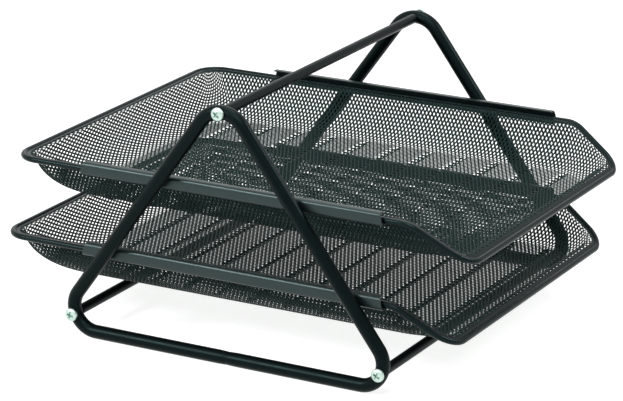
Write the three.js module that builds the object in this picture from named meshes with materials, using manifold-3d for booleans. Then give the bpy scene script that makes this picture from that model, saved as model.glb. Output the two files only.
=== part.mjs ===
// Two-tier mesh letter tray. Two triangular side frames of bent tube are held apart by three
// screwed crossbars and carry four channel rails. Two trays, each a bent wire rim round a
// pressed mesh basket, slide in the rails; their fronts dip and draw in a little, so that the
// sheets are easy to take out.
// Millimetres, +Z up, the front towards -Y, the origin on the table under the middle.
import * as THREE from 'three';
import { mergeVertices } from 'three/addons/utils/BufferGeometryUtils.js';
import Module from 'manifold-3d';

const wasm = await Module();
wasm.setup();

// Room left between two pieces that touch
const SEAT = 0.3;

// Side frames: one closed tube each, bent to a triangle in the plane x = +-FRAME_SPREAD / 2
const FRAME_SPREAD = 262;
const FRAME_TUBE = 9;
const FRAME_WALL = 1;
const FRAME_BASE = 257.5;
const FRAME_RISE = 174.6;
const FRAME_LOWER_BEND = 16;
const FRAME_TOP_BEND = 18.5;
const FRAME_SIDES = 14;
const FRAME_BEND_STEPS = 6;

// Crossbars: solid rods between the bends of the two side frames
const BAR_DIAMETER = 6.5;
const BAR_SIDES = 18;

// Pan-head screws through the bends into the crossbars' ends
const SCREW_SHANK = 3.5;
const SCREW_GRIP = 12;
const SCREW_HEAD = 8.6;
const SCREW_HEAD_HEIGHT = 2.8;
const SCREW_RECESS = 4.4;
const SCREW_RECESS_WIDTH = 1.1;
const SCREW_RECESS_DEPTH = 1.5;
const SCREW_SIDES = 14;
// How far the lower screws sit up their bends from the middle, in degrees round the bend
const SCREW_LIFT = 8;

// Rails: folded channels, open towards the trays, their ends cut at a slant
const RAIL_SHEET = 1;
const RAIL_HEIGHT = 8.8;
const RAIL_FLANGE = 5.4;
const RAIL_FOLD = 0.6;
const RAIL_TOP_LENGTH = 215;
const RAIL_BOTTOM_LENGTH = 220;
const UPPER_RAIL_HEIGHT = 111.9;
const LOWER_RAIL_HEIGHT = 57.4;

// Trays: the wire's centre line, seen from above, and its dip at the front
const WIRE = 4;
const WIRE_SIDES = 8;
const WIRE_SIDE_PLAY = 1.4;
const TRAY_LENGTH = 325;
const FRONT_RUN = 37;
const FRONT_DROP = 23.5;
// How far the dip draws in towards the front at each side
const FRONT_TAPER = 10;
const KNEE_BEND = 20;
const REAR_CORNER = 16;
const FRONT_CORNER = 15;
const CORNER_STEPS = 5;
const KNEE_STEPS = 4;
// How far behind the frame's middle each tray stands: the lower one is home, with the knees of
// its rim against the rails' ends, and the upper one is pulled a little forward
const UPPER_TRAY_BACK = 0.5;
const LOWER_TRAY_BACK = 11;

// Baskets: a flat hem inside the wire, a scooped wall and a flat floor
const SHEET = 1;
const HEM = 5;
const BASKET_DEPTH = 27;
const SIDE_INSET = 26;
const REAR_INSET = 26;
const FRONT_INSET = 15;
const FLOOR_REAR_CORNER = 32;
const FLOOR_FRONT_CORNER = 18;
const WALL_STEPS = 5;
const WALL_ROUNDNESS = 1.8;

// Stiffening beads pressed down across the floor
const BEAD_PITCH = 25;
const BEAD_WIDTH = 3.8;
const BEAD_MARGIN = 7;

// Diamond openings of the mesh, drawn at a coarse pitch
const NET_PITCH = 22;
const NET_STRAND = 2.4;
const WALL_GAP_HEIGHT = 19;

const X = new THREE.Vector3(1, 0, 0);
const Y = new THREE.Vector3(0, 1, 0);
const Z = new THREE.Vector3(0, 0, 1);

const steel = { color: 0x22292a, roughness: 0.42, metalness: 0.35 };
const finishes = {
  frame: new THREE.MeshStandardMaterial(steel),
  rail: new THREE.MeshStandardMaterial({ ...steel, color: 0x3d4a4b }),
  wire: new THREE.MeshStandardMaterial({ ...steel, color: 0x1b2021 }),
  mesh: new THREE.MeshStandardMaterial({ ...steel, color: 0x161b1b, roughness: 0.55, side: THREE.DoubleSide }),
  zinc: new THREE.MeshStandardMaterial({ color: 0xc9ccce, roughness: 0.25, metalness: 0.9 }),
};

const letterTray = new THREE.Group();

// The trays reach further forward or back than the frame, so all is shifted to put the middle of
// the whole at the origin
const assembly = new THREE.Group();
assembly.position.y = -(UPPER_TRAY_BACK + LOWER_TRAY_BACK) / 2;
letterTray.add(assembly);

function addMesh(name, geometry, material, parent = assembly) {
  const mesh = new THREE.Mesh(geometry, material);
  mesh.name = name;
  parent.add(mesh);
  return mesh;
}

// Joins and cuts

function toSolid(geometry) {
  const bare = new THREE.BufferGeometry();
  bare.setAttribute('position', geometry.getAttribute('position').clone());
  if (geometry.index) {
    bare.setIndex(geometry.index.clone());
  }
  const merged = mergeVertices(bare, 1e-4);
  return new wasm.Manifold(new wasm.Mesh({
    numProp: 3,
    vertProperties: new Float32Array(merged.getAttribute('position').array),
    triVerts: dropFlatFaces(merged.index.array),
  }));
}

function dropFlatFaces(index) {
  const kept = [];
  for (let i = 0; i < index.length; i += 3) {
    const [a, b, c] = index.slice(i, i + 3);
    if (a !== b && b !== c && c !== a) {
      kept.push(a, b, c);
    }
  }
  return new Uint32Array(kept);
}

function toGeometry(solid) {
  const mesh = solid.getMesh();
  const geometry = new THREE.BufferGeometry();
  geometry.setAttribute('position', new THREE.BufferAttribute(mesh.vertProperties, 3));
  geometry.setIndex(new THREE.BufferAttribute(mesh.triVerts, 1));
  geometry.computeVertexNormals();
  return geometry;
}

function joined(geometries) {
  return geometries.map(toSolid).reduce((whole, solid) => whole.add(solid));
}

// Closed tubes

// A closed loop through given stations. Each section stands square to the mean of the two runs
// that meet there, so straight runs need no stations between their ends.
class StationLoop extends THREE.Curve {
  constructor(stations) {
    super();
    this.stations = stations;
  }

  place(u) {
    const count = this.stations.length;
    const i = Math.round(u * count) % count;
    return [this.stations[(i + count - 1) % count], this.stations[i], this.stations[(i + 1) % count]];
  }

  getPointAt(u, target = new THREE.Vector3()) {
    return target.copy(this.place(u)[1]);
  }

  getTangentAt(u, target = new THREE.Vector3()) {
    const [before, here, after] = this.place(u);
    const arriving = here.clone().sub(before).normalize();
    const leaving = after.clone().sub(here).normalize();
    return target.copy(arriving).add(leaving).normalize();
  }
}

function closedTube(stations, diameter, sides) {
  return new THREE.TubeGeometry(new StationLoop(stations), stations.length, diameter / 2, sides, true);
}

// The point at a share of the way round one bend of a polygon, from one straight run to the next
function bendPoint(before, corner, after, radius, share) {
  const back = before.clone().sub(corner).normalize();
  const onward = after.clone().sub(corner).normalize();
  const half = back.angleTo(onward) / 2;
  const toCentre = back.clone().add(onward).normalize();
  const centre = corner.clone().addScaledVector(toCentre, radius / Math.sin(half));
  const start = corner.clone().addScaledVector(back, radius / Math.tan(half)).sub(centre);
  const axis = back.clone().cross(onward).normalize();
  return start.applyAxisAngle(axis, -(Math.PI - 2 * half) * share).add(centre);
}

// Side frames, crossbars and screws

// The lower bends turn through more than a right angle, from the base to the leg
const LOWER_TURN = Math.PI - Math.atan2(FRAME_RISE, FRAME_BASE / 2);

// The section has a flat side downwards, so the frame stands on a flat strip. Where the base run
// meets the bends its sections lean by a quarter of a bend's step, which draws the strip in.
const FRAME_FOOT = FRAME_TUBE / 2 * Math.cos(Math.PI / FRAME_SIDES) * Math.cos(LOWER_TURN / FRAME_BEND_STEPS / 4);
const frameCorners = [
  new THREE.Vector3(0, FRAME_BASE / 2, FRAME_FOOT),
  new THREE.Vector3(0, 0, FRAME_FOOT + FRAME_RISE),
  new THREE.Vector3(0, -FRAME_BASE / 2, FRAME_FOOT),
];

const frameBends = [FRAME_LOWER_BEND, FRAME_TOP_BEND, FRAME_LOWER_BEND];

function frameBend(i) {
  return [frameCorners[(i + 2) % 3], frameCorners[i], frameCorners[(i + 1) % 3], frameBends[i]];
}

const screwShift = THREE.MathUtils.degToRad(SCREW_LIFT) / LOWER_TURN;
const screwPlaces = {
  rear: bendPoint(...frameBend(0), 0.5 + screwShift),
  top: bendPoint(...frameBend(1), 0.5),
  front: bendPoint(...frameBend(2), 0.5 - screwShift),
};

function sideFrameGeometry() {
  const stations = [0, 1, 2].flatMap((bend) => Array.from({ length: FRAME_BEND_STEPS + 1 }, (_, i) => (
    bendPoint(...frameBend(bend), i / FRAME_BEND_STEPS)
  )));
  const outside = toSolid(closedTube(stations, FRAME_TUBE, FRAME_SIDES));
  const bore = toSolid(closedTube(stations, FRAME_TUBE - 2 * FRAME_WALL, FRAME_SIDES));
  const holes = Object.values(screwPlaces).map((place) => {
    const hole = new THREE.CylinderGeometry(SCREW_SHANK / 2 + SEAT, SCREW_SHANK / 2 + SEAT, 2 * FRAME_TUBE, SCREW_SIDES);
    return hole.rotateZ(Math.PI / 2).translate(0, place.y, place.z);
  });
  return toGeometry(outside.subtract(bore).subtract(joined(holes)));
}

for (const [name, side] of [['left_side_frame', -1], ['right_side_frame', 1]]) {
  const frame = addMesh(name, sideFrameGeometry(), finishes.frame);
  frame.position.x = side * FRAME_SPREAD / 2;
}

// A rod along X with a blind hole in each end for the screw
const BAR_LENGTH = FRAME_SPREAD - FRAME_TUBE - 2 * SEAT;

function crossbarGeometry() {
  const end = BAR_LENGTH / 2;
  const hole = SCREW_SHANK / 2 + SEAT;
  const holeEnd = end - SCREW_GRIP - SEAT;
  const profile = [
    [0, -holeEnd], [hole, -holeEnd], [hole, -end], [BAR_DIAMETER / 2, -end],
    [BAR_DIAMETER / 2, end], [hole, end], [hole, holeEnd], [0, holeEnd],
  ].map(([radius, along]) => new THREE.Vector2(radius, along));
  return new THREE.LatheGeometry(profile, BAR_SIDES).rotateZ(-Math.PI / 2);
}

// A pan head on a plain shank, head outwards along +X, its seat at x = 0
function screwGeometry() {
  const head = SCREW_HEAD / 2;
  const length = SEAT + FRAME_TUBE + SEAT + SCREW_GRIP;
  const profile = [
    [0, -length], [SCREW_SHANK / 2 - 0.5, -length], [SCREW_SHANK / 2, -length + 0.8],
    [SCREW_SHANK / 2, 0], [head, 0], [head, SCREW_HEAD_HEIGHT * 0.45],
    [head * 0.88, SCREW_HEAD_HEIGHT * 0.75], [head * 0.6, SCREW_HEAD_HEIGHT * 0.95], [0, SCREW_HEAD_HEIGHT],
  ].map(([radius, along]) => new THREE.Vector2(radius, along));
  const body = toSolid(new THREE.LatheGeometry(profile, SCREW_SIDES));
  const slots = [0, Math.PI / 2].map((turn) => (
    new THREE.BoxGeometry(SCREW_RECESS, 2 * SCREW_RECESS_DEPTH, SCREW_RECESS_WIDTH)
      .translate(0, SCREW_HEAD_HEIGHT, 0)
      .rotateY(turn + Math.PI / 4)
  ));
  return toGeometry(body.subtract(joined(slots))).rotateZ(-Math.PI / 2);
}

for (const [place, point] of Object.entries(screwPlaces)) {
  const bar = addMesh(`${place}_crossbar`, crossbarGeometry(), finishes.frame);
  bar.position.set(0, point.y, point.z);
  for (const [side, turn, sign] of [['left', Math.PI, -1], ['right', 0, 1]]) {
    const screw = addMesh(`${place}_${side}_screw`, screwGeometry(), finishes.zinc);
    screw.position.set(sign * (FRAME_SPREAD / 2 + FRAME_TUBE / 2 + SEAT), point.y, point.z);
    screw.rotation.z = turn;
  }
}

// Rails

// The outer face of the web lies against the inner side of the frame's legs
const RAIL_FACE = FRAME_SPREAD / 2 - FRAME_TUBE / 2 - SEAT;

function railSection() {
  const top = RAIL_HEIGHT / 2;
  const outer = RAIL_FOLD + RAIL_SHEET;
  const shape = new THREE.Shape();
  shape.moveTo(RAIL_FLANGE, -top);
  shape.lineTo(outer, -top);
  shape.absarc(outer, -top + outer, outer, -Math.PI / 2, -Math.PI, true);
  shape.lineTo(0, top - outer);
  shape.absarc(outer, top - outer, outer, Math.PI, Math.PI / 2, true);
  shape.lineTo(RAIL_FLANGE, top);
  shape.lineTo(RAIL_FLANGE, top - RAIL_SHEET);
  shape.lineTo(outer, top - RAIL_SHEET);
  shape.absarc(outer, top - outer, RAIL_FOLD, Math.PI / 2, Math.PI, false);
  shape.lineTo(RAIL_SHEET, -top + outer);
  shape.absarc(outer, -top + outer, RAIL_FOLD, Math.PI, Math.PI * 1.5, false);
  shape.lineTo(RAIL_FLANGE, -top + RAIL_SHEET);
  shape.closePath();
  return shape;
}

// A channel along Y, its web at x = 0 and its flanges towards +X
function railGeometry() {
  const channel = new THREE.ExtrudeGeometry(railSection(), {
    depth: RAIL_BOTTOM_LENGTH + 2, bevelEnabled: false, curveSegments: 4,
  }).translate(0, 0, -RAIL_BOTTOM_LENGTH / 2 - 1).rotateX(Math.PI / 2);
  const slant = (RAIL_BOTTOM_LENGTH - RAIL_TOP_LENGTH) / 2 / RAIL_HEIGHT;
  const reach = RAIL_HEIGHT / 2 + 1;
  const low = RAIL_BOTTOM_LENGTH / 2 + slant;
  const high = RAIL_TOP_LENGTH / 2 - slant;
  const side = new THREE.Shape([
    new THREE.Vector2(-low, -reach), new THREE.Vector2(low, -reach),
    new THREE.Vector2(high, reach), new THREE.Vector2(-high, reach),
  ]);
  const cutter = new THREE.ExtrudeGeometry(side, { depth: 3 * RAIL_FLANGE, bevelEnabled: false })
    .translate(0, 0, -RAIL_FLANGE)
    .applyMatrix4(new THREE.Matrix4().makeBasis(Y, Z, X));
  return toGeometry(toSolid(channel).intersect(toSolid(cutter)));
}

for (const [level, height] of [['upper', UPPER_RAIL_HEIGHT], ['lower', LOWER_RAIL_HEIGHT]]) {
  for (const [side, sign, turn] of [['left', -1, 0], ['right', 1, Math.PI]]) {
    const rail = addMesh(`${level}_${side}_rail`, railGeometry(), finishes.rail);
    rail.position.set(sign * RAIL_FACE, 0, height);
    rail.rotation.z = turn;
  }
}

// Trays

// The wire runs in the channel, clear of its web, and rests on its lower flange
const WIRE_REACH = RAIL_FACE - RAIL_SHEET - WIRE_SIDE_PLAY - WIRE / 2;
const WIRE_SEAT = -RAIL_HEIGHT / 2 + RAIL_SHEET + SEAT + WIRE / 2;

// The tray's outline is drawn flat as (x, run) and then folded down at the knee
const DIP_ANGLE = Math.atan2(FRONT_DROP, FRONT_RUN);
const REAR_RUN = TRAY_LENGTH / 2;
const KNEE_RUN = -TRAY_LENGTH / 2 + FRONT_RUN;
const FRONT_RUN_END = KNEE_RUN - Math.hypot(FRONT_RUN, FRONT_DROP);
const KNEE_TANGENT = KNEE_BEND * Math.tan(DIP_ANGLE / 2);

// Where a point of the flat outline lands: its distance along Y and its height
function fold(run) {
  const past = KNEE_RUN + KNEE_TANGENT - run;
  if (past <= 0) {
    return { y: run, z: 0 };
  }
  const arc = KNEE_BEND * DIP_ANGLE;
  const turned = Math.min(past / KNEE_BEND, DIP_ANGLE);
  const straight = Math.max(past - arc, 0);
  return {
    y: KNEE_RUN + KNEE_TANGENT - KNEE_BEND * Math.sin(turned) - straight * Math.cos(DIP_ANGLE),
    z: -KNEE_BEND * (1 - Math.cos(turned)) - straight * Math.sin(DIP_ANGLE),
  };
}

// How far the sides have drawn in at a run: evenly along the dip, and gently round the knee
function drawnIn(run) {
  const knee = KNEE_RUN + KNEE_TANGENT;
  const arc = KNEE_BEND * DIP_ANGLE;
  const past = Math.max(knee - run, 0);
  const slope = FRONT_TAPER / (knee - FRONT_RUN_END - arc / 2);
  return slope * (past < arc ? past ** 2 / (2 * arc) : past - arc / 2);
}

// One turn of the flat outline, drawn in by the given insets, counter-clockwise from above
function flatLoop(sideInset, rearInset, frontInset, rearRadius, frontRadius) {
  const reach = WIRE_REACH - sideInset;
  const rear = REAR_RUN - rearInset;
  const front = FRONT_RUN_END + frontInset;
  const corner = (x, run, radius, from) => Array.from({ length: CORNER_STEPS + 1 }, (_, i) => {
    const angle = from + Math.PI / 2 * i / CORNER_STEPS;
    const centreX = x - Math.sign(x) * radius;
    const centreRun = run - Math.sign(run) * radius;
    return [centreX + radius * Math.cos(angle), centreRun + radius * Math.sin(angle)];
  });
  const knee = Array.from({ length: KNEE_STEPS + 1 }, (_, i) => (
    KNEE_RUN + KNEE_TANGENT - KNEE_BEND * DIP_ANGLE * i / KNEE_STEPS
  ));
  return [
    ...corner(reach, rear, rearRadius, 0),
    ...corner(-reach, rear, rearRadius, Math.PI / 2),
    ...knee.map((run) => [-reach, run]),
    ...corner(-reach, front, frontRadius, Math.PI),
    ...corner(reach, front, frontRadius, Math.PI * 1.5),
    ...knee.toReversed().map((run) => [reach, run]),
  ].map(([x, run]) => [x * (1 - drawnIn(run) / reach), run]);
}

function rimGeometry() {
  const stations = flatLoop(0, 0, 0, REAR_CORNER, FRONT_CORNER).map(([x, run]) => {
    const place = fold(run);
    return new THREE.Vector3(x, place.y, place.z);
  });
  return closedTube(stations, WIRE, WIRE_SIDES);
}

// Levels of the basket, from the hem's outer edge to the floor's edge. share is how far each has
// gone in from the hem to the floor, and sink how far down.
function basketLevels() {
  const wall = Array.from({ length: WALL_STEPS + 1 }, (_, i) => {
    const angle = Math.PI / 2 * i / WALL_STEPS;
    return {
      inset: HEM,
      share: 1 - Math.cos(angle) ** (2 / WALL_ROUNDNESS),
      sink: Math.sin(angle) ** (2 / WALL_ROUNDNESS),
    };
  });
  return [{ inset: 0, share: 0, sink: 0 }, ...wall];
}

function basketLoop({ inset, share, sink }) {
  const edge = WIRE / 2 + SEAT + inset;
  const inward = (whole) => edge + (whole - edge) * share;
  const radius = (rim, floor) => (rim - edge) * (1 - share) + floor * share;
  const loop = flatLoop(
    inward(SIDE_INSET), inward(REAR_INSET), inward(FRONT_INSET),
    radius(REAR_CORNER, FLOOR_REAR_CORNER),
    radius(FRONT_CORNER, FLOOR_FRONT_CORNER),
  );
  return loop.map(([x, run]) => {
    const place = fold(run);
    return new THREE.Vector3(x, place.y, place.z * (1 - sink) - BASKET_DEPTH * sink + SHEET / 2);
  });
}

// A sheet of even thickness whose upper face passes through the levels
function basketShell() {
  const levels = basketLevels().map(basketLoop);
  const count = levels[0].length;
  const last = levels.length - 1;
  const normalAt = (k, i) => {
    if (k === last) {
      return Z.clone();
    }
    const along = levels[k][(i + 1) % count].clone().sub(levels[k][(i + count - 1) % count]);
    const inwards = levels[k + 1][i].clone().sub(levels[Math.max(k - 1, 0)][i]);
    return along.cross(inwards).normalize();
  };
  const upper = levels.map((loop) => loop.map((point) => point.clone()));
  const under = levels.map((loop, k) => loop.map((point, i) => point.clone().addScaledVector(normalAt(k, i), -SHEET)));
  const positions = [...upper, ...under].flat().flatMap((point) => point.toArray());
  const at = (layer, k, i) => (layer * levels.length + k) * count + i % count;
  const index = [];
  const quad = (a, b, c, d) => index.push(a, b, c, a, c, d);
  for (let i = 0; i < count; i += 1) {
    for (let k = 0; k < last; k += 1) {
      quad(at(0, k, i), at(0, k, i + 1), at(0, k + 1, i + 1), at(0, k + 1, i));
      quad(at(1, k, i), at(1, k + 1, i), at(1, k + 1, i + 1), at(1, k, i + 1));
    }
    quad(at(0, 0, i), at(1, 0, i), at(1, 0, i + 1), at(0, 0, i + 1));
  }
  const rim = levels[last].map((point) => new THREE.Vector2(point.x, point.y));
  for (const [a, b, c] of THREE.ShapeUtils.triangulateShape(rim, [])) {
    index.push(at(0, last, a), at(0, last, b), at(0, last, c));
    index.push(at(1, last, c), at(1, last, b), at(1, last, a));
  }
  const geometry = new THREE.BufferGeometry();
  geometry.setAttribute('position', new THREE.Float32BufferAttribute(positions, 3));
  geometry.setIndex(index);
  return geometry;
}

const FLOOR_TOP = -BASKET_DEPTH + SHEET / 2;
const FLOOR_REACH = WIRE_REACH - SIDE_INSET;
const FLOOR_REAR = REAR_RUN - REAR_INSET;
const FLOOR_FRONT = fold(FRONT_RUN_END + FRONT_INSET).y;
const FLOOR_MIDDLE = (FLOOR_REAR + FLOOR_FRONT) / 2;
const BEADS = Math.floor((FLOOR_REAR - FLOOR_FRONT - BEAD_MARGIN) / BEAD_PITCH);
const beadPlaces = Array.from({ length: BEADS }, (_, i) => FLOOR_MIDDLE + (i - (BEADS - 1) / 2) * BEAD_PITCH);

function beadGeometries(radius) {
  const straight = 2 * (FLOOR_REACH - BEAD_MARGIN - radius);
  return beadPlaces.map((y) => (
    new THREE.CapsuleGeometry(radius, straight, 2, 8).rotateZ(Math.PI / 2).translate(0, y, FLOOR_TOP)
  ));
}

// A six-sided prism, pointed at its left and right, with its axis along +Z
function meshGap(width, height, depth) {
  const shape = new THREE.Shape([
    [1, 0], [0.5, 1], [-0.5, 1], [-1, 0], [-0.5, -1], [0.5, -1],
  ].map(([x, y]) => new THREE.Vector2(x * width / 2, y * height / 2)));
  return new THREE.ExtrudeGeometry(shape, { depth, bevelEnabled: false }).translate(0, 0, -depth / 2);
}

// Places spread evenly about the middle of a stretch, half a pitch over where staggered
function spread(length, pitch, staggered) {
  const whole = Math.floor(length / pitch);
  const count = staggered ? whole - 1 : whole;
  return Array.from({ length: count }, (_, i) => (i - (count - 1) / 2) * pitch);
}

// One row of gaps in each bay between two beads, staggered from bay to bay
function floorGaps() {
  const height = BEAD_PITCH - BEAD_WIDTH - 2 * NET_STRAND;
  const bays = [beadPlaces[0] - BEAD_PITCH / 2, ...beadPlaces.map((y) => y + BEAD_PITCH / 2)];
  return bays.slice(1, -1).flatMap((y, bay) => (
    spread(2 * (FLOOR_REACH - NET_STRAND), NET_PITCH, bay % 2 === 1).map((x) => (
      meshGap(NET_PITCH - NET_STRAND, height, 4 * SHEET).translate(x, y, FLOOR_TOP)
    ))
  ));
}

// One row of gaps along the wall below a straight stretch of rim at y = reach, square to the
// wall's middle
function wallRow(reach, wholeInset, places) {
  const levels = basketLevels();
  const [high, low] = [levels[WALL_STEPS - 2], levels[WALL_STEPS - 1]].map(({ share, sink }) => ({
    inset: WIRE / 2 + SEAT + HEM + (wholeInset - WIRE / 2 - SEAT - HEM) * share,
    z: SHEET / 2 - BASKET_DEPTH * sink,
  }));
  const tilt = Math.atan2(high.z - low.z, low.inset - high.inset);
  return places.map((x) => (
    meshGap(NET_PITCH - NET_STRAND, WALL_GAP_HEIGHT, 8 * SHEET)
      .rotateX(tilt)
      .translate(x, reach - (high.inset + low.inset) / 2, (high.z + low.z) / 2)
  ));
}

function wallGaps() {
  const front = KNEE_RUN + KNEE_TANGENT + NET_STRAND;
  const rear = FLOOR_REAR - FLOOR_REAR_CORNER;
  const along = spread(rear - front, NET_PITCH, false).map((step) => step + (front + rear) / 2);
  return [
    ...wallRow(REAR_RUN, REAR_INSET, spread(2 * (FLOOR_REACH - FLOOR_REAR_CORNER), NET_PITCH, false)),
    ...wallRow(WIRE_REACH, SIDE_INSET, along).map((gap) => gap.rotateZ(Math.PI / 2)),
    ...wallRow(WIRE_REACH, SIDE_INSET, along.map((step) => -step)).map((gap) => gap.rotateZ(-Math.PI / 2)),
  ];
}

function basketGeometry() {
  const below = new THREE.BoxGeometry(4 * WIRE_REACH, 2 * TRAY_LENGTH, BASKET_DEPTH)
    .translate(0, 0, FLOOR_TOP - BASKET_DEPTH / 2);
  const beads = joined(beadGeometries(BEAD_WIDTH / 2 + SHEET)).intersect(toSolid(below));
  const hollows = joined(beadGeometries(BEAD_WIDTH / 2));
  const pressed = toSolid(basketShell()).add(beads).subtract(hollows);
  return toGeometry(pressed.subtract(joined([...floorGaps(), ...wallGaps()])));
}

for (const [level, height, back] of [
  ['upper', UPPER_RAIL_HEIGHT, UPPER_TRAY_BACK],
  ['lower', LOWER_RAIL_HEIGHT, LOWER_TRAY_BACK],
]) {
  const tray = new THREE.Group();
  tray.position.set(0, back, height + WIRE_SEAT);
  addMesh(`${level}_tray_rim`, rimGeometry(), finishes.wire, tray);
  addMesh(`${level}_tray_basket`, basketGeometry(), finishes.mesh, tray);
  assembly.add(tray);
}

export default letterTray;
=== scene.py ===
"""Two-tier mesh letter tray: satin black bent-tube frame, channel rails, two trays of expanded mesh."""
import math

import bmesh
import bpy
import numpy as np
from mathutils import Matrix, Vector


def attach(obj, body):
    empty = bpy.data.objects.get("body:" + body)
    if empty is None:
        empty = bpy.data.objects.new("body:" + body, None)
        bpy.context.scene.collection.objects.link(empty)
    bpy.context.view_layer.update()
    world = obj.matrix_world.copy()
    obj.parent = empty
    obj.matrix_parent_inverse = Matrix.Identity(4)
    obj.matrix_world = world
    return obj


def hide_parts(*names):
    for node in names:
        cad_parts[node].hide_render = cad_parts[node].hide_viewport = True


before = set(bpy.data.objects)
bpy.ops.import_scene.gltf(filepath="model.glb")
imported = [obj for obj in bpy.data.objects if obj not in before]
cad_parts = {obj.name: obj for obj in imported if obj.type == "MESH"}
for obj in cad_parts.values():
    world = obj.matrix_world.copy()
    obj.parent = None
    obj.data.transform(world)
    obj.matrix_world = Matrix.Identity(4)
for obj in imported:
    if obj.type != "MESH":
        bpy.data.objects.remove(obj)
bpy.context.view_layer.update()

# Sizes in millimetres, as in the solids but for a rounder fold of the rails. MM turns them to metres,
# SHIFT moves the frame along Y to centre the whole, and SEAT is the small gap between neighbours
MM = 0.001
SHIFT = -5.75
SEAT = 0.3

FRAME_SPREAD = 262.0
FRAME_TUBE = 9.0
FRAME_BASE = 257.5
FRAME_RISE = 174.6
FRAME_LOWER_BEND = 16.0
FRAME_TOP_BEND = 18.5
FRAME_FOOT = 4.37
BAR_DIAMETER = 6.5
BAR_EDGE = 0.35
SCREW_LIFT = 8.0
SCREW_HEAD = 8.6
SCREW_HEAD_HEIGHT = 2.8
SCREW_HEAD_EDGE = 0.25
# Where the crown starts and how far it rises, as shares of the head's height
CROWN_START = 0.42
CROWN_RISE = 0.58
SHANK_LENGTH = 6.0
SHANK_TIP_RADIUS = 1.7
SHANK_RADIUS = 1.75
# The cross recess: half its length and width at the mouth, and its floor's shares of them
RECESS_REACH = 3.0
RECESS_HALF_WIDTH = 0.80
RECESS_DEPTH = 2.2
RECESS_FLOOR_REACH = 0.42
RECESS_FLOOR_WIDTH = 0.75
RECESS_OVERSHOOT = 0.8
# How far each screw was turned when it was driven home, in radians
SCREW_TURNS = {"rear": 0.25, "top": 0.7, "front": 0.45}

RAIL_SHEET = 1.0
RAIL_HEIGHT = 8.8
RAIL_FLANGE = 5.4
RAIL_FOLD = 1.4
RAIL_TOP_LENGTH = 215.0
RAIL_BOTTOM_LENGTH = 220.0
RAIL_EDGE = 0.18
RAIL_HEIGHTS = {"upper": 111.9, "lower": 57.4}

WIRE = 4.0
WIRE_SIDE_PLAY = 1.4
TRAY_LENGTH = 325.0
FRONT_RUN = 37.0
FRONT_DROP = 23.5
FRONT_TAPER = 10.0
KNEE_BEND = 20.0
REAR_CORNER = 16.0
FRONT_CORNER = 15.0
TRAY_BACK = {"upper": 0.5, "lower": 11.0}

SHEET = 1.0
HEM = 5.0
HEM_LIP = 2.0
BASKET_DEPTH = 27.0
SIDE_INSET = 26.0
REAR_INSET = 26.0
FRONT_INSET = 15.0
FLOOR_REAR_CORNER = 32.0
FLOOR_FRONT_CORNER = 18.0
WALL_ROUNDNESS = 1.8
BEAD_PITCH = 25.0
BEAD_WIDTH = 3.8
BEAD_DEPTH = 1.9
BEAD_MARGIN = 7.0
# How far the pressing closes the holes along the beads, and how quickly from a bead's side inwards
# Part of the closing is the pressing; the lower tray's larger share darkens its beads as painted shade in
# the grooves
BEAD_CLOSED_AND_SHADE = {"upper": 0.35, "lower": 0.72}
BEAD_CLOSING_RATE = 2.0

# Expanded mesh: half of a diamond's length and width in the flat sheet, and the strand's section
NET_HALF_LONG = 2.7
NET_HALF_SHORT = 1.425
# The lower tray's floor strands are drawn wider than the upper's, closing its holes as painted shade for the
# shadow beneath the trays; the real nets are alike
FLOOR_STRAND_WIDTH_AND_SHADE = {"upper": 1.06, "lower": 1.64}
WALL_STRAND_WIDTH = 1.30
WALL_STRAND_THICK = 0.45
FLOOR_STRAND_THICK = 0.76
# How far each net lies off square in its tray, in degrees
NET_TURN = {"upper": 0.4, "lower": -0.2}
# Spare lattice round the flat sheet, for its turn
SPARE_COLUMNS = 4
SPARE_ROWS = 6

# Faces round the tubes and turned pieces, and steps round the bends
TUBE_SIDES = 32
WIRE_SIDES = 16
TURNED_SIDES = 48
BEND_STEPS = 20
CORNER_STEPS = 16
KNEE_STEPS = 8
CROWN_POINTS = 10
FOLD_POINTS = 7


# Mesh building


def mesh_object(name, vertices, faces, angle=35.0):
    """A smooth-shaded object from points in millimetres, with edges sharper than angle kept sharp."""
    mesh = bpy.data.meshes.new(name)
    points = np.asarray(vertices, dtype=float) * MM
    mesh.from_pydata(points.tolist(), [], faces)
    mesh.validate()
    mesh.polygons.foreach_set("use_smooth", [True] * len(mesh.polygons))
    if angle is not None:
        mesh.set_sharp_from_angle(angle=math.radians(angle))
    mesh.update()
    piece = bpy.data.objects.new(name, mesh)
    bpy.context.scene.collection.objects.link(piece)
    return piece


def ring_faces(rings, around, closed):
    """Quads between rings of around points each; closed joins the last ring to the first."""
    faces = []
    for k in range(rings if closed else rings - 1):
        after = (k + 1) % rings
        for i in range(around):
            j = (i + 1) % around
            faces.append((k * around + i, k * around + j, after * around + j, after * around + i))
    return faces


def unit(vectors):
    """Each row scaled to a length of 1."""
    return vectors / np.linalg.norm(vectors, axis=1)[:, None]


def closed_sweep(stations, radius, sides, up):
    """Points and faces of a round tube along a closed loop of stations."""
    stations = np.asarray(stations, dtype=float)
    arriving = unit(stations - np.roll(stations, 1, axis=0))
    leaving = unit(np.roll(stations, -1, axis=0) - stations)
    tangent = unit(arriving + leaving)
    across = unit(np.cross(tangent, up))
    over = np.cross(across, tangent)
    angle = np.linspace(0, 2 * math.pi, sides, endpoint=False)
    radius = np.broadcast_to(radius, len(stations))[:, None, None]
    section = radius * (
        np.cos(angle)[None, :, None] * across[:, None, :] + np.sin(angle)[None, :, None] * over[:, None, :]
    )
    points = (stations[:, None, :] + section).reshape(-1, 3)
    return points, ring_faces(len(stations), sides, True)


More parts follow.
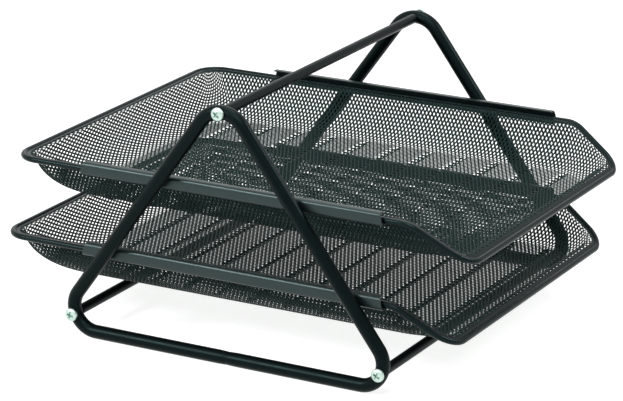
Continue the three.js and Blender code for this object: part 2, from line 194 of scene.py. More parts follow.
def bend_point(before, corner, after, radius, share):
    """The point at a share of the way round one bend between two straight runs."""
    back = (before - corner) / np.linalg.norm(before - corner)
    onward = (after - corner) / np.linalg.norm(after - corner)
    half = math.acos(float(back @ onward)) / 2
    middle = back + onward
    middle /= np.linalg.norm(middle)
    centre = corner + middle * radius / math.sin(half)
    start = corner + back * radius / math.tan(half) - centre
    axis = np.cross(back, onward)
    turn = Matrix.Rotation(-(math.pi - 2 * half) * share, 3, Vector(axis))
    return centre + np.array(turn @ Vector(start))


# Side frames

# The seam's place along the base run, and how far the tube is drawn in at each place along the seam
SEAM_PLACE = -2.0
SEAM_SHAPE = [
    (-6.0, 0.0), (-3.5, 0.12), (-1.0, 0.16), (-0.3, 0.30),
    (0.3, 0.30), (1.0, 0.16), (3.5, 0.12), (6.0, 0.0),
]

FRAME_CORNERS = [
    np.array([0.0, FRAME_BASE / 2, FRAME_FOOT]),
    np.array([0.0, 0.0, FRAME_FOOT + FRAME_RISE]),
    np.array([0.0, -FRAME_BASE / 2, FRAME_FOOT]),
]
FRAME_BENDS = [FRAME_LOWER_BEND, FRAME_TOP_BEND, FRAME_LOWER_BEND]
LOWER_TURN = math.pi - math.atan2(FRAME_RISE, FRAME_BASE / 2)


def frame_bend(i, share):
    """The point at a share of the way round one of the triangle's bends."""
    return bend_point(
        FRAME_CORNERS[(i + 2) % 3], FRAME_CORNERS[i], FRAME_CORNERS[(i + 1) % 3], FRAME_BENDS[i], share
    )


SCREW_SHIFT = math.radians(SCREW_LIFT) / LOWER_TURN
SCREW_PLACES = {
    "rear": frame_bend(0, 0.5 + SCREW_SHIFT),
    "top": frame_bend(1, 0.5),
    "front": frame_bend(2, 0.5 - SCREW_SHIFT),
}


def frame_tube(side):
    """One side frame, its tube's ends butted in a shallow dressed seam on the base run."""
    stations = [frame_bend(i, k / BEND_STEPS) for i in range(3) for k in range(BEND_STEPS + 1)]
    seam = [np.array([0.0, SEAM_PLACE + y, FRAME_FOOT]) for y, _ in SEAM_SHAPE]
    radii = [FRAME_TUBE / 2] * len(stations) + [FRAME_TUBE / 2 - dip for _, dip in SEAM_SHAPE]
    stations = np.array(stations + seam) + np.array([side * FRAME_SPREAD / 2, SHIFT, 0.0])
    return closed_sweep(stations, np.array(radii), TUBE_SIDES, np.array([1.0, 0.0, 0.0]))


# Trays

RAIL_FACE = FRAME_SPREAD / 2 - FRAME_TUBE / 2 - SEAT
WIRE_REACH = RAIL_FACE - RAIL_SHEET - WIRE_SIDE_PLAY - WIRE / 2
WIRE_SEAT = -RAIL_HEIGHT / 2 + RAIL_SHEET + SEAT + WIRE / 2
DIP_ANGLE = math.atan2(FRONT_DROP, FRONT_RUN)
REAR_RUN = TRAY_LENGTH / 2
KNEE_RUN = -TRAY_LENGTH / 2 + FRONT_RUN
FRONT_RUN_END = KNEE_RUN - math.hypot(FRONT_RUN, FRONT_DROP)
KNEE_START = KNEE_RUN + KNEE_BEND * math.tan(DIP_ANGLE / 2)
HEM_EDGE = WIRE / 2 + SEAT + HEM


def fold(run):
    """Where a run along the flat outline lands once the wire dips at its knee: (y, z)."""
    past = np.maximum(KNEE_START - run, 0)
    turned = np.minimum(past / KNEE_BEND, DIP_ANGLE)
    straight = np.maximum(past - KNEE_BEND * DIP_ANGLE, 0)
    y = np.where(
        past > 0,
        KNEE_START - KNEE_BEND * np.sin(turned) - straight * math.cos(DIP_ANGLE),
        run,
    )
    z = -KNEE_BEND * (1 - np.cos(turned)) - straight * math.sin(DIP_ANGLE)
    return y, z


def drawn_in(run):
    """How far each side has drawn in at a run, gently round the knee and evenly along the dip."""
    arc = KNEE_BEND * DIP_ANGLE
    past = np.maximum(KNEE_START - run, 0)
    slope = FRONT_TAPER / (KNEE_START - FRONT_RUN_END - arc / 2)
    return slope * np.where(past < arc, past ** 2 / (2 * arc), past - arc / 2)


def flat_loop(inset):
    """The tray's outline from above as points (x, run), drawn in by an inset."""
    reach = WIRE_REACH - inset
    rear = REAR_RUN - inset
    front = FRONT_RUN_END + inset
    rear_radius = REAR_CORNER - inset
    front_radius = FRONT_CORNER - inset

    def corner(x, run, radius, start):
        angle = start + np.linspace(0, math.pi / 2, CORNER_STEPS + 1)
        centre_x = x - math.copysign(radius, x)
        centre_run = run - math.copysign(radius, run)
        return [(centre_x + radius * math.cos(a), centre_run + radius * math.sin(a)) for a in angle]

    knee = KNEE_START - KNEE_BEND * DIP_ANGLE * np.linspace(0, 1, KNEE_STEPS + 1)
    loop = np.array(
        corner(reach, rear, rear_radius, 0)
        + corner(-reach, rear, rear_radius, math.pi / 2)
        + [(-reach, run) for run in knee]
        + corner(-reach, front, front_radius, math.pi)
        + corner(reach, front, front_radius, math.pi * 1.5)
        + [(reach, run) for run in knee[::-1]]
    )
    loop[:, 0] *= 1 - drawn_in(loop[:, 1]) / reach
    return loop


def tray_origin(level):
    """The middle of a rim wire's level part, in the frame's place."""
    return np.array([0.0, TRAY_BACK[level] + SHIFT, RAIL_HEIGHTS[level] + WIRE_SEAT])


def rim_wire(level):
    """One closed wire, dipped at its front."""
    loop = flat_loop(0)
    y, z = fold(loop[:, 1])
    stations = np.column_stack([loop[:, 0], y, z]) + tray_origin(level)
    return closed_sweep(stations, WIRE / 2, WIRE_SIDES, np.array([0.0, 0.0, 1.0]))


def hem_strip(level):
    """The selvage of the mesh, a narrow lip of closed sheet along the wire's inner side."""
    lip = WIRE / 2 + SEAT + HEM_LIP
    # The strip's section, as how far in from the wire's middle and how high above it
    section = [
        (WIRE * 0.30, 0.75), (WIRE * 0.42, 0.98), (lip - 0.3, 0.95), (lip, 0.7),
        (lip, 0.1), (lip - 0.3, -0.2), (WIRE * 0.42, -0.3), (WIRE * 0.30, -0.1),
    ]
    rings = []
    for inset, height in section:
        loop = flat_loop(inset)
        y, z = fold(loop[:, 1])
        rings.append(np.column_stack([loop[:, 0], y, z + height]))
    rings = np.array(rings) + tray_origin(level)
    count = rings.shape[1]
    points = rings.transpose(1, 0, 2).reshape(-1, 3)
    return points, ring_faces(count, len(section), True)


# The net: a flat lattice of diamonds laid over the basket's floor and walls

WALL_SAMPLES = np.linspace(0, math.pi / 2, 241)
SHALLOWEST_WALL = 2.0
DEPTH_SAMPLES = 30
# Halvings in the search for a point's place down the wall, and the step that its slope is taken over
HALVINGS = 26
SLOPE_STEP = 0.25


def wall_share(angle):
    """How far in the wall has come at an angle, 0 at the hem's edge and 1 at the floor."""
    return 1 - np.cos(angle) ** (2 / WALL_ROUNDNESS)


def wall_sink(angle):
    """How far down the wall has come at an angle, 0 at the hem's edge and 1 at the floor."""
    return np.sin(angle) ** (2 / WALL_ROUNDNESS)


def wall_arc(width, depth):
    """Arc length from the hem's edge to each sample, down a wall of this width and depth."""
    across = np.diff(width * wall_share(WALL_SAMPLES))
    down = np.diff(depth * wall_sink(WALL_SAMPLES))
    return np.concatenate([[0.0], np.cumsum(np.hypot(across, down))])


SIDE_WALL = wall_arc(SIDE_INSET - HEM_EDGE, BASKET_DEPTH)
FRONT_DEPTH = BASKET_DEPTH - FRONT_DROP + HEM_EDGE * math.sin(DIP_ANGLE)
FRONT_WALL = wall_arc(FRONT_INSET - HEM_EDGE, FRONT_DEPTH)
FLOOR_REACH = WIRE_REACH - SIDE_INSET
FLOOR_REAR = REAR_RUN - REAR_INSET
FLOOR_FRONT = FRONT_RUN_END + FRONT_INSET


def depth_at(run):
    """The wall's depth at a run, less where the rim dips."""
    return BASKET_DEPTH + fold(run)[1]


def side_length(run):
    """Arc length of the side wall's section at a run, shorter where the rim dips."""
    depths = np.linspace(SHALLOWEST_WALL, BASKET_DEPTH, DEPTH_SAMPLES)
    lengths = [wall_arc(SIDE_INSET - HEM_EDGE, depth)[-1] for depth in depths]
    return np.interp(depth_at(run), depths, lengths)


def loops_at(angle):
    """Sizes of the basket's outline at a wall angle, 0 at the hem's edge and pi / 2 at the floor."""
    share = wall_share(angle)
    inset = HEM_EDGE + (SIDE_INSET - HEM_EDGE) * share
    inset_rear = HEM_EDGE + (REAR_INSET - HEM_EDGE) * share
    inset_front = HEM_EDGE + (FRONT_INSET - HEM_EDGE) * share
    rear_radius = (REAR_CORNER - HEM_EDGE) * (1 - share) + FLOOR_REAR_CORNER * share
    front_radius = (FRONT_CORNER - HEM_EDGE) * (1 - share) + FLOOR_FRONT_CORNER * share
    return WIRE_REACH - inset, REAR_RUN - inset_rear, FRONT_RUN_END + inset_front, rear_radius, front_radius


def corner_shares(x, run, angle):
    """How far a flat point reaches across and along, in the outline at this wall angle.

    Both are 1 at the outline. The third value is the length that 1 stands for."""
    side, rear, front, rear_radius, front_radius = loops_at(angle)
    left_up = 1 - np.interp(angle, WALL_SAMPLES, SIDE_WALL / SIDE_WALL[-1])
    front_up = 1 - np.interp(angle, WALL_SAMPLES, FRONT_WALL / FRONT_WALL[-1])
    reach = FLOOR_REACH + side_length(run) * left_up
    flat_rear = FLOOR_REAR + SIDE_WALL[-1] * left_up
    flat_front = FLOOR_FRONT - FRONT_WALL[-1] * front_up
    radius = np.where(run > 0, rear_radius, front_radius)
    centre_x = side - radius
    centre_rear = rear - rear_radius
    centre_front = front + front_radius
    across = np.maximum((np.abs(x) - centre_x) / (reach - centre_x), 0)
    along = np.where(
        run > 0,
        (run - centre_rear) / (flat_rear - centre_rear),
        (centre_front - run) / (centre_front - flat_front),
    )
    along = np.maximum(along, 0)
    whole_along = np.where(run > 0, flat_rear - centre_rear, centre_front - flat_front)
    return across, along, np.where(across > along, reach - centre_x, whole_along)


def lay(x, run):
    """Lays flat points on the basket. Returns their places and how far out on the hem they are."""
    x = np.asarray(x, dtype=float)
    run = np.asarray(run, dtype=float)
    low = np.zeros_like(x)
    high = np.full_like(x, math.pi / 2)
    across, along, _ = corner_shares(x, run, high)
    on_floor = np.hypot(across, along) <= 1
    across, along, whole = corner_shares(x, run, low)
    outside = np.maximum(np.hypot(across, along) - 1, 0) * whole
    for _ in range(HALVINGS):
        middle = (low + high) / 2
        across, along, _ = corner_shares(x, run, middle)
        beyond = np.hypot(across, along) > 1
        high = np.where(beyond, middle, high)
        low = np.where(beyond, low, middle)
    angle = np.where(on_floor, math.pi / 2, np.where(outside > 0, 0, (low + high) / 2))
    across, along, _ = corner_shares(x, run, angle)
    side, rear, front, rear_radius, front_radius = loops_at(angle)
    radius = np.where(run > 0, rear_radius, front_radius)
    length = np.maximum(np.hypot(across, along), 1e-9)
    reach = radius + outside
    out_x = np.where(across > 0, side - radius + reach * across / length, np.abs(x))
    out_run = np.where(
        along > 0,
        np.where(
            run > 0,
            rear - rear_radius + reach * along / length,
            front + front_radius - reach * along / length,
        ),
        run,
    )
    out_x = np.where(on_floor, np.abs(x), out_x) * np.sign(x)
    out_run = np.where(on_floor, run, out_run)
    out_x = out_x * (1 - drawn_in(out_run) / (side + outside))
    y, z = fold(out_run)
    sink = wall_sink(angle)
    height = z * (1 - sink) - BASKET_DEPTH * sink + SHEET / 2 - bead_drop(out_x, y, on_floor)
    return np.stack([out_x, y, height], axis=-1), outside, on_floor


FLOOR_FRONT_Y = float(fold(np.array(FLOOR_FRONT))[0])
BEADS = int((FLOOR_REAR - FLOOR_FRONT_Y - BEAD_MARGIN) // BEAD_PITCH)
BEAD_PLACES = (FLOOR_REAR + FLOOR_FRONT_Y) / 2 + (np.arange(BEADS) - (BEADS - 1) / 2) * BEAD_PITCH


def bead_share(x, y):
    """1 on a bead's middle line, falling to 0 at its sides and ends."""
    nearest = np.min(np.abs(y[..., None] - BEAD_PLACES), axis=-1)
    side = np.clip(1 - (nearest / (BEAD_WIDTH / 2)) ** 2, 0, 1)
    end = np.clip((FLOOR_REACH - BEAD_MARGIN - np.abs(x)) / BEAD_WIDTH + 1, 0, 1)
    return side * end


def bead_drop(x, y, on_floor):
    """How far a point sinks where a bead is pressed in the floor."""
    return np.where(on_floor, BEAD_DEPTH * bead_share(x, y), 0)


def lay_with_normal(x, run):
    """What lay returns, with the sheet's upward normal second."""
    place, outside, on_floor = lay(x, run)
    along_x = lay(x + SLOPE_STEP, run)[0] - lay(x - SLOPE_STEP, run)[0]
    along_run = lay(x, run + SLOPE_STEP)[0] - lay(x, run - SLOPE_STEP)[0]
    normal = np.cross(along_x, along_run)
    normal /= np.linalg.norm(normal, axis=-1)[..., None] + 1e-12
    return place, normal, outside, on_floor


def net_sheet(level):
    """The pressed expanded mesh: one closed strand network with a diamond hole in each cell."""
    columns = int((FLOOR_REACH + SIDE_WALL[-1] + HEM) / NET_HALF_LONG) + SPARE_COLUMNS
    first = int((FLOOR_FRONT - FRONT_WALL[-1] - HEM) / NET_HALF_SHORT) - SPARE_ROWS
    last = int((FLOOR_REAR + SIDE_WALL[-1] + HEM) / NET_HALF_SHORT) + SPARE_ROWS
    i, j = np.meshgrid(np.arange(-columns, columns + 1), np.arange(first, last + 1), indexing="ij")
    turn = math.radians(NET_TURN[level])
    x = i * NET_HALF_LONG * math.cos(turn) - j * NET_HALF_SHORT * math.sin(turn)
    run = i * NET_HALF_LONG * math.sin(turn) + j * NET_HALF_SHORT * math.cos(turn)
    place, normal, outside, on_floor = lay_with_normal(x, run)
    kept = outside < HEM + SEAT
    half = np.where(on_floor, FLOOR_STRAND_THICK, WALL_STRAND_THICK)[..., None] / 2
    top = place + normal * half
    under = place - normal * half

    shape = x.shape
    node = np.arange(x.size).reshape(shape)
    centre = np.zeros(shape, dtype=bool)
    inner = (slice(1, -1), slice(1, -1))
    is_hole = (i + j) % 2 != 0
    around = kept[:-2, 1:-1] & kept[2:, 1:-1] & kept[1:-1, :-2] & kept[1:-1, 2:]
    centre[inner] = is_hole[inner] & around
    a, b = np.nonzero(centre)

    # On the lower tray's floor the wider strands are painted shade
    strand = np.where(on_floor[a, b], FLOOR_STRAND_WIDTH_AND_SHADE[level], WALL_STRAND_WIDTH) / 2
    slope = math.atan2(NET_HALF_SHORT, NET_HALF_LONG)
    tip = 1 - strand / math.sin(slope) / NET_HALF_LONG
    side = 1 - strand / math.cos(slope) / NET_HALF_SHORT
    pressed = bead_share(place[a, b, 0], place[a, b, 1]) * on_floor[a, b]
    # The lower tray's stronger closing along the beads is painted shade
    shrink = 1 - BEAD_CLOSED_AND_SHADE[level] * np.clip(pressed * BEAD_CLOSING_RATE, 0, 1)
    middle = place[a, b]
    corners = {
        "left": middle + (place[a - 1, b] - middle) * (tip * shrink)[:, None],
        "right": middle + (place[a + 1, b] - middle) * (tip * shrink)[:, None],
        "back": middle + (place[a, b + 1] - middle) * (side * shrink)[:, None],
        "fore": middle + (place[a, b - 1] - middle) * (side * shrink)[:, None],
    }
    holes = len(a)
    base = 2 * x.size
    order = ["left", "back", "right", "fore"]
    index = {name: base + k * holes + np.arange(holes) for k, name in enumerate(order)}
    nodes = {"left": node[a - 1, b], "back": node[a, b + 1], "right": node[a + 1, b], "fore": node[a, b - 1]}
    faces = []
    for k in range(4):
        here, after = order[k], order[(k + 1) % 4]
        over = [nodes[here], index[here], index[after], nodes[after]]
        below = [nodes[here] + x.size, nodes[after] + x.size, index[after], index[here]]
        faces += [np.column_stack(over), np.column_stack(below)]
    faces = np.concatenate(faces)
    points = np.concatenate([top.reshape(-1, 3), under.reshape(-1, 3)] + [corners[name] for name in order])
    used = np.unique(faces)
    renumber = np.zeros(len(points), dtype=int)
    renumber[used] = np.arange(len(used))
    return points[used] + tray_origin(level), renumber[faces].tolist()


# Rails


def rail_section():
    """The channel's outline as (across, up), its web at 0 and its flanges towards +."""
    top = RAIL_HEIGHT / 2
    outer = RAIL_FOLD + RAIL_SHEET
    arc = np.linspace(0, math.pi / 2, FOLD_POINTS)
    outside = [(RAIL_FLANGE, -top)]
    outside += [(outer - outer * math.sin(a), -top + outer - outer * math.cos(a)) for a in arc]
    outside += [(outer - outer * math.cos(a), top - outer + outer * math.sin(a)) for a in arc]
    outside += [(RAIL_FLANGE, top), (RAIL_FLANGE, top - RAIL_SHEET)]
    inside = [(outer - RAIL_FOLD * math.sin(a), top - outer + RAIL_FOLD * math.cos(a)) for a in arc]
    inside += [(outer - RAIL_FOLD * math.cos(a), -top + outer - RAIL_FOLD * math.sin(a)) for a in arc]
    return outside + inside + [(RAIL_FLANGE, -top + RAIL_SHEET)]


def rail(level, side):
    """A channel rail, its ends cut at a slant so that its lower flange is the longer one."""
    section = rail_section()
    slant = (RAIL_BOTTOM_LENGTH - RAIL_TOP_LENGTH) / 2 / RAIL_HEIGHT
    points = []
    for end in (-1, 1):
        for across, up in section:
            reach = RAIL_TOP_LENGTH / 2 + slant * (RAIL_HEIGHT / 2 - up)
            points.append((side * (RAIL_FACE - across), end * reach + SHIFT, RAIL_HEIGHTS[level] + up))
    count = len(section)
    faces = [(k, (k + 1) % count, count + (k + 1) % count, count + k) for k in range(count)]
    faces += [tuple(range(count - 1, -1, -1)), tuple(range(count, 2 * count))]
    if side > 0:
        faces = [face[::-1] for face in faces]
    return points, faces


# Crossbars and screws


def lathe(profile, origin, side=1):
    """Turns (radius, along) round an axis along X, from a first to a last point on the axis."""
    sides = TURNED_SIDES
    angle = np.linspace(0, 2 * math.pi, sides, endpoint=False)
    points = []
    rings = []
    for radius, along in profile:
        if radius == 0:
            rings.append([len(points)])
            points.append((along * side, 0, 0))
        else:
            rings.append(list(range(len(points), len(points) + sides)))
            points += [(along * side, radius * math.cos(a), radius * math.sin(a)) for a in angle]
    faces = []
    for first, second in zip(rings, rings[1:]):
        for k in range(sides):
            after = (k + 1) % sides
            corners = [
                first[k % len(first)], first[after % len(first)],
                second[after % len(second)], second[k % len(second)],
            ]
            faces.append(tuple(dict.fromkeys(corners)))
    return np.array(points) + origin, faces


def at_screw(place, x):
    """The point on a screw's axis at this x."""
    point = SCREW_PLACES[place]
    return np.array([x, point[1] + SHIFT, point[2]])


def crossbar(place):
    """A round bar between the side frames, its ends eased."""
    end = RAIL_FACE
    radius = BAR_DIAMETER / 2
    edge = BAR_EDGE
    profile = [
        (0, -end), (radius - edge, -end), (radius, -end + edge), (radius, 0), (radius, end - edge),
        (radius - edge, end), (0, end),
    ]
    return lathe(profile, at_screw(place, 0.0))


def screw(place, side):
    """A pan head, with its shank inside the tube."""
    head = SCREW_HEAD / 2
    height = SCREW_HEAD_HEIGHT
    angle = np.linspace(0, math.pi / 2, CROWN_POINTS)
    crown = [(head * math.cos(a), height * (CROWN_START + CROWN_RISE * math.sin(a))) for a in angle]
    profile = [
        (0, -SHANK_LENGTH), (SHANK_TIP_RADIUS, -SHANK_LENGTH), (SHANK_RADIUS, 0.0),
        (head - SCREW_HEAD_EDGE, 0.0), (head, SCREW_HEAD_EDGE),
    ]
    profile += crown[:-1] + [(0, height)]
    seat = side * (FRAME_SPREAD / 2 + FRAME_TUBE / 2 + SEAT)
    return lathe(profile, at_screw(place, seat), side)


def blade(place, side, turn):
    """A tapered blade; two of them crossed cut the recess into a screw's head."""
    vertices = []
    levels = (
        (-RECESS_DEPTH, RECESS_REACH * RECESS_FLOOR_REACH, RECESS_HALF_WIDTH * RECESS_FLOOR_WIDTH),
        (RECESS_OVERSHOOT, RECESS_REACH, RECESS_HALF_WIDTH),
    )
    for along, length, thick in levels:
        for u, v in ((-length, -thick), (length, -thick), (length, thick), (-length, thick)):
            y = u * math.cos(turn) - v * math.sin(turn)
            z = u * math.sin(turn) + v * math.cos(turn)
            vertices.append((along * side, y, z))
    faces = [(0, 1, 2, 3), (7, 6, 5, 4), (0, 4, 5, 1), (1, 5, 6, 2), (2, 6, 7, 3), (3, 7, 4, 0)]
    crest = side * (FRAME_SPREAD / 2 + FRAME_TUBE / 2 + SEAT + SCREW_HEAD_HEIGHT)
    return np.array(vertices) + at_screw(place, crest), faces


def outward(piece):
    """Turns every face outwards."""
    work = bmesh.new()
    work.from_mesh(piece.data)
    bmesh.ops.recalc_face_normals(work, faces=work.faces)
    work.to_mesh(piece.data)
    work.free()


def bevel(piece, width):
    """Eases a piece's sharp edges."""
    modifier = piece.modifiers.new("edge", "BEVEL")
    modifier.width = width * MM
    modifier.segments = 2
    modifier.limit_method = "ANGLE"
    modifier.angle_limit = math.radians(40)
    modifier.harden_normals = True


def cut(piece, cutter):
    """Subtracts cutter from piece and removes cutter."""
    modifier = piece.modifiers.new("recess", "BOOLEAN")
    modifier.operation = "DIFFERENCE"
    modifier.object = cutter
    modifier.solver = "EXACT"
    bpy.context.view_layer.update()
    depsgraph = bpy.context.evaluated_depsgraph_get()
    mesh = bpy.data.meshes.new_from_object(piece.evaluated_get(depsgraph))
    piece.modifiers.clear()
    piece.data = mesh
    bpy.data.objects.remove(cutter)
    mesh.polygons.foreach_set("use_smooth", [True] * len(mesh.polygons))
    mesh.set_sharp_from_angle(angle=math.radians(30))


# Materials: patterns in features per metre, and how much each changes the surface

PATCH_SCALE = 90.0
PATCH_DARKER = 0.88
PATCH_LIGHTER = 1.12
GLOSS_CHANGE = 0.04
PEEL_SCALE = 1400.0
PEEL_STRENGTH = 0.25
GRAIN_SCALE = 2500.0
GRAIN_STRENGTH = 0.2
GRAIN_DEPTH = 0.03
ZINC_COLOUR = (0.50, 0.62, 0.57, 1)
ZINC_ROUGHNESS = (0.34, 0.50)


def new_material(name):
    """A material with its node tree and its shader."""
    material = bpy.data.materials.new(name)
    material.use_nodes = True
    tree = material.node_tree
    return material, tree, tree.nodes["Principled BSDF"]


def noise(tree, scale, detail):
    """A noise pattern in the part's own coordinates, scale in features per metre."""
    coordinates = tree.nodes.new("ShaderNodeTexCoord")
    texture = tree.nodes.new("ShaderNodeTexNoise")
    texture.inputs["Scale"].default_value = scale
    texture.inputs["Detail"].default_value = detail
    texture.inputs["Roughness"].default_value = 0.5
    tree.links.new(coordinates.outputs["Object"], texture.inputs["Vector"])
    return texture


def spread(tree, value, low, high):
    """Maps a 0.3 to 0.7 pattern onto low to high."""
    remap = tree.nodes.new("ShaderNodeMapRange")
    remap.inputs["From Min"].default_value = 0.3
    remap.inputs["From Max"].default_value = 0.7
    remap.inputs["To Min"].default_value = low
    remap.inputs["To Max"].default_value = high
    tree.links.new(value, remap.inputs["Value"])
    return remap.outputs["Result"]


def roughen(tree, shader, pattern, strength, depth):
    """Bumps a surface by a pattern, depth in millimetres."""
    bump = tree.nodes.new("ShaderNodeBump")
    bump.inputs["Strength"].default_value = strength
    bump.inputs["Distance"].default_value = depth * MM
    tree.links.new(pattern.outputs["Fac"], bump.inputs["Height"])
    tree.links.new(bump.outputs["Normal"], shader.inputs["Normal"])


def paint(name, colour, roughness, shine, peel, tint=(0.60, 1.0, 0.96)):
    """Satin powder coat: a faint orange peel, and slow changes of colour and gloss."""
    material, tree, shader = new_material(name)
    shader.inputs["Specular IOR Level"].default_value = shine
    shader.inputs["Specular Tint"].default_value = (*tint, 1)
    slow = noise(tree, PATCH_SCALE, 2.0)
    ramp = tree.nodes.new("ShaderNodeMix")
    ramp.data_type = "RGBA"
    ramp.inputs["A"].default_value = (*[c * PATCH_DARKER for c in colour], 1)
    ramp.inputs["B"].default_value = (*[c * PATCH_LIGHTER for c in colour], 1)
    tree.links.new(slow.outputs["Fac"], ramp.inputs["Factor"])
    tree.links.new(ramp.outputs["Result"], shader.inputs["Base Color"])
    gloss = spread(tree, slow.outputs["Fac"], roughness - GLOSS_CHANGE, roughness + GLOSS_CHANGE)
    tree.links.new(gloss, shader.inputs["Roughness"])
    roughen(tree, shader, noise(tree, PEEL_SCALE, 2.0), PEEL_STRENGTH, peel)
    return material


def zinc(name):
    """Bright zinc plate: nearly smooth metal with fine grain."""
    material, tree, shader = new_material(name)
    shader.inputs["Base Color"].default_value = ZINC_COLOUR
    shader.inputs["Metallic"].default_value = 1.0
    grain = noise(tree, GRAIN_SCALE, 3.0)
    tree.links.new(spread(tree, grain.outputs["Fac"], *ZINC_ROUGHNESS), shader.inputs["Roughness"])
    roughen(tree, shader, grain, GRAIN_STRENGTH, GRAIN_DEPTH)
    return material


# Paints: colour, roughness, specular level, depth of the orange peel in millimetres, and the tint
FRAME_PAINT = paint("frame_paint", (0.001, 0.0024, 0.0026), 0.35, 0.10, 0.05)
RAIL_PAINT = paint("rail_paint", (0.004, 0.0075, 0.0073), 0.36, 0.50, 0.04, (0.72, 1.0, 0.97))
WIRE_PAINT = paint("wire_paint", (0.002, 0.0042, 0.0045), 0.26, 0.16, 0.04)
MESH_PAINT = paint("mesh_paint", (0.013, 0.026, 0.0235), 0.34, 0.08, 0.03, (0.42, 1.0, 0.92))
ZINC = zinc("zinc_plate")


def finish(piece, material, slot, body, *nodes):
    """Gives a piece its material and its body, and hides the nodes it stands for. slot is not used."""
    piece.data.materials.clear()
    piece.data.materials.append(material)
    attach(piece, body)
    if nodes:
        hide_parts(*nodes)


# Putting the object together

for name, side in (("left", -1), ("right", 1)):
    tube = mesh_object(f"{name}_frame_tube", *frame_tube(side), angle=None)
    outward(tube)
    finish(tube, FRAME_PAINT, "frame", "frame", f"{name}_side_frame")

for place in SCREW_PLACES:
    bar = mesh_object(f"{place}_bar", *crossbar(place))
    outward(bar)
    finish(bar, FRAME_PAINT, "frame", "frame", f"{place}_crossbar")
    for name, side in (("left", -1), ("right", 1)):
        head = mesh_object(f"{place}_{name}_pan_screw", *screw(place, side))
        outward(head)
        for turn in (0, math.pi / 2):
            cutter = mesh_object("cutter", *blade(place, side, SCREW_TURNS[place] + turn))
            outward(cutter)
            cut(head, cutter)
        finish(head, ZINC, "zinc", "frame", f"{place}_{name}_screw")

for level in ("upper", "lower"):
    for name, side in (("left", -1), ("right", 1)):
        channel = mesh_object(f"{level}_{name}_channel", *rail(level, side))
        outward(channel)
        bevel(channel, RAIL_EDGE)
        finish(channel, RAIL_PAINT, "rail", "frame", f"{level}_{name}_rail")
    body = f"{level}_tray"
    wire = mesh_object(f"{level}_rim_wire", *rim_wire(level), angle=None)
    outward(wire)
    finish(wire, WIRE_PAINT, "wire", body, f"{level}_tray_rim")
    hem = mesh_object(f"{level}_basket_hem", *hem_strip(level), angle=50.0)
    outward(hem)
    finish(hem, WIRE_PAINT, "mesh", body)
    net = mesh_object(f"{level}_basket_net", *net_sheet(level), angle=None)
    finish(net, MESH_PAINT, "mesh", body, f"{level}_tray_basket")


# Stage, light and camera

# The stage's sizes in metres, and its colours
BACKDROP = (1.0, 1.0, 1.0)
AMBIENT = (0.12, 0.12, 0.12)
STAGE_REACH = 6.0
STAGE_DROP = 0.0002
STAGE_COLOUR = (0.50, 0.50, 0.50, 1)
STAGE_GLOW = (0.87, 0.88, 0.87)
NO_LIGHT = (0.0, 0.0, 0.0)

# Each lamp's place, its width and height, all in metres, and its watts
LAMPS = {
    "key": ((0.70, -1.15, 1.10), (0.33, 0.33), 7.0),
    "left": ((-1.15, 0.78, 0.95), (0.42, 0.42), 15.0),
    "front": ((-0.80, -0.36, 1.24), (0.6, 0.45), 7.0),
    "overhead": ((0.15, 0.05, 1.55), (0.9, 0.9), 10.0),
    "side": ((1.30, 0.60, 0.75), (0.6, 0.4), 0.7),
}
LAMP_AIM = Vector((0.0, 0.0, 0.08))


def by_ray(tree, seen, others):
    """One colour for camera, glossy and transmission rays, and another for all other rays."""
    path = tree.nodes.new("ShaderNodeLightPath")
    colour = None
    for name in ("Is Glossy Ray", "Is Transmission Ray", "Is Camera Ray"):
        choice = tree.nodes.new("ShaderNodeMix")
        choice.data_type = "RGBA"
        choice.inputs["A"].default_value = (*others, 1)
        choice.inputs["B"].default_value = (*seen, 1)
        if colour is not None:
            tree.links.new(colour, choice.inputs["A"])
        tree.links.new(path.outputs[name], choice.inputs["Factor"])
        colour = choice.outputs["Result"]
    return colour


def make_world():
    """Plain dim light all round, seen as a pale backdrop."""
    world = bpy.data.worlds.new("studio")
    bpy.context.scene.world = world
    world.use_nodes = True
    background = world.node_tree.nodes["Background"]
    colour = by_ray(world.node_tree, BACKDROP, AMBIENT)
    world.node_tree.links.new(colour, background.inputs["Color"])


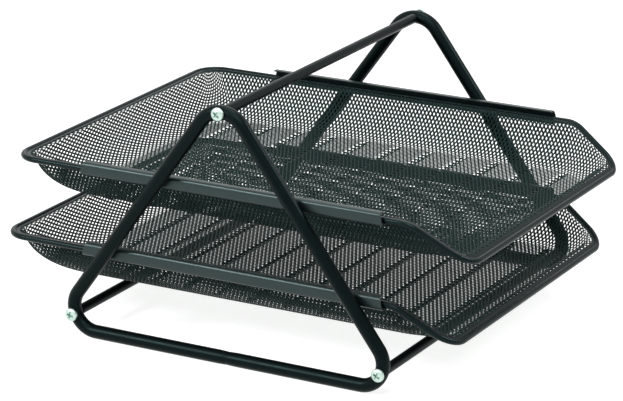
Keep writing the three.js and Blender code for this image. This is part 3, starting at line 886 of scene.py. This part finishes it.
def make_floor():
    """A pale floor that shows near white where it isn't shaded."""
    size = STAGE_REACH
    mesh = bpy.data.meshes.new("floor")
    corners = [(-size, -size, 0), (size, -size, 0), (size, size, 0), (-size, size, 0)]
    mesh.from_pydata(corners, [], [(0, 1, 2, 3)])
    floor = bpy.data.objects.new("floor", mesh)
    floor.location.z = -STAGE_DROP
    bpy.context.scene.collection.objects.link(floor)
    material = bpy.data.materials.new("floor")
    material.use_nodes = True
    tree = material.node_tree
    tree.nodes.clear()
    output = tree.nodes.new("ShaderNodeOutputMaterial")
    diffuse = tree.nodes.new("ShaderNodeBsdfDiffuse")
    diffuse.inputs["Color"].default_value = STAGE_COLOUR
    glow = tree.nodes.new("ShaderNodeEmission")
    both = tree.nodes.new("ShaderNodeAddShader")
    colour = by_ray(tree, STAGE_GLOW, NO_LIGHT)
    tree.links.new(colour, glow.inputs["Color"])
    tree.links.new(diffuse.outputs[0], both.inputs[0])
    tree.links.new(glow.outputs[0], both.inputs[1])
    tree.links.new(both.outputs[0], output.inputs["Surface"])
    mesh.materials.append(material)


def area_lamp(name, place, size, power):
    """A rectangular soft lamp that faces the object."""
    data = bpy.data.lights.new(name, "AREA")
    data.energy = power
    data.shape = "RECTANGLE"
    data.size, data.size_y = size
    lamp = bpy.data.objects.new(name, data)
    lamp.location = place
    lamp.rotation_euler = (LAMP_AIM - Vector(place)).to_track_quat("-Z", "Y").to_euler()
    bpy.context.scene.collection.objects.link(lamp)


make_world()
make_floor()
for name, (place, size, power) in LAMPS.items():
    area_lamp(name, place, size, power)

# The camera, as fitted to the photograph: angles in degrees, distances in metres, focal length in
# pixels of a 623 by 401 image
IMAGE_WIDTH = 623
SENSOR_WIDTH = 36.0
FARTHEST = 50.0
FOCAL_PIXELS = 3078.26
AZIMUTH, ELEVATION, ROLL = -60.804, 18.183, -0.180
DISTANCE = 2.03510
ASIDE, ALOFT = -0.008815, -0.004535
TARGET = Vector((0.0, SHIFT * MM, 0.07603))


def make_camera():
    """The camera at the photograph's place, with its roll."""
    data = bpy.data.cameras.new("camera")
    data.sensor_width = SENSOR_WIDTH
    data.lens = FOCAL_PIXELS / IMAGE_WIDTH * SENSOR_WIDTH
    data.clip_end = FARTHEST
    azimuth, elevation, roll = (math.radians(v) for v in (AZIMUTH, ELEVATION, ROLL))
    back = Vector((
        math.sin(azimuth) * math.cos(elevation),
        -math.cos(azimuth) * math.cos(elevation),
        math.sin(elevation),
    ))
    right = (-back).cross(Vector((0, 0, 1))).normalized()
    up = right.cross(-back)
    tilted_right = math.cos(roll) * right + math.sin(roll) * up
    tilted_up = math.cos(roll) * up - math.sin(roll) * right
    camera = bpy.data.objects.new("camera", data)
    turn = Matrix((tilted_right, tilted_up, back)).transposed().to_4x4()
    place = TARGET + back * DISTANCE + tilted_right * ASIDE + tilted_up * ALOFT
    camera.matrix_world = Matrix.Translation(place) @ turn
    bpy.context.scene.collection.objects.link(camera)
    bpy.context.scene.camera = camera


make_camera()
bpy.context.scene.view_settings.view_transform = "Standard"
